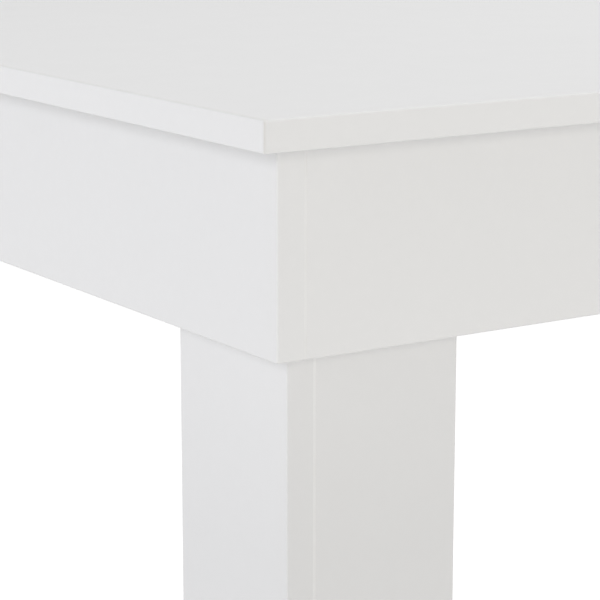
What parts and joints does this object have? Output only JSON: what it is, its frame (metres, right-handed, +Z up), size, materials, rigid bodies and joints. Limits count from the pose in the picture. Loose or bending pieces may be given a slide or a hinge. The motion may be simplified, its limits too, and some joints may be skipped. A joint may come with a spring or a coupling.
{
  "type": "parsons dining table",
  "caption": "Rectangular parsons dining table: a thin square-edged top on a flush apron frame, with square hollow legs standing inside the frame's corners.",
  "frame": {"origin": "on the floor, under the middle of the table", "axes": "+X along the table's length, +Y across it from the front to the back, +Z up"},
  "size_m": [1.4, 0.8, 0.75],
  "materials": {
    "white_lacquer": "satin white lacquer on medium-density fibreboard",
    "softwood": "planed bare softwood",
    "spline_beech": "bare beech",
    "zinc_plated_steel": "bright zinc plate",
    "glide_plastic": "moulded off-white plastic"
  },
  "bodies": {
    "root": {"top_panel": "white_lacquer", "front_apron": "white_lacquer", "back_apron": "white_lacquer", "left_end_apron": "white_lacquer", "right_end_apron": "white_lacquer", "cross_rail": "white_lacquer", "leg_end_board_front_left": "white_lacquer", "leg_side_board_front_left": "white_lacquer", "leg_inner_end_board_front_left": "white_lacquer", "leg_inner_side_board_front_left": "white_lacquer", "leg_end_board_front_right": "white_lacquer", "leg_side_board_front_right": "white_lacquer", "leg_inner_end_board_front_right": "white_lacquer", "leg_inner_side_board_front_right": "white_lacquer", "leg_end_board_back_left": "white_lacquer", "leg_side_board_back_left": "white_lacquer", "leg_inner_end_board_back_left": "white_lacquer", "leg_inner_side_board_back_left": "white_lacquer", "leg_end_board_back_right": "white_lacquer", "leg_side_board_back_right": "white_lacquer", "leg_inner_end_board_back_right": "white_lacquer", "leg_inner_side_board_back_right": "white_lacquer", "leg_top_block_front_left": "softwood", "leg_foot_block_front_left": "softwood", "corner_block_front_left": "softwood", "leg_top_block_front_right": "softwood", "leg_foot_block_front_right": "softwood", "corner_block_front_right": "softwood", "leg_top_block_back_left": "softwood", "leg_foot_block_back_left": "softwood", "corner_block_back_left": "softwood", "leg_top_block_back_right": "softwood", "leg_foot_block_back_right": "softwood", "corner_block_back_right": "softwood", "hanger_bolts": "zinc_plated_steel", "hanger_washers": "zinc_plated_steel", "hanger_nuts": "zinc_plated_steel", "corner_block_screws": "zinc_plated_steel", "frame_splines": "spline_beech", "top_clips": "zinc_plated_steel", "top_clip_screws": "zinc_plated_steel", "glides": "glide_plastic"}
  },
  "joints": []
}
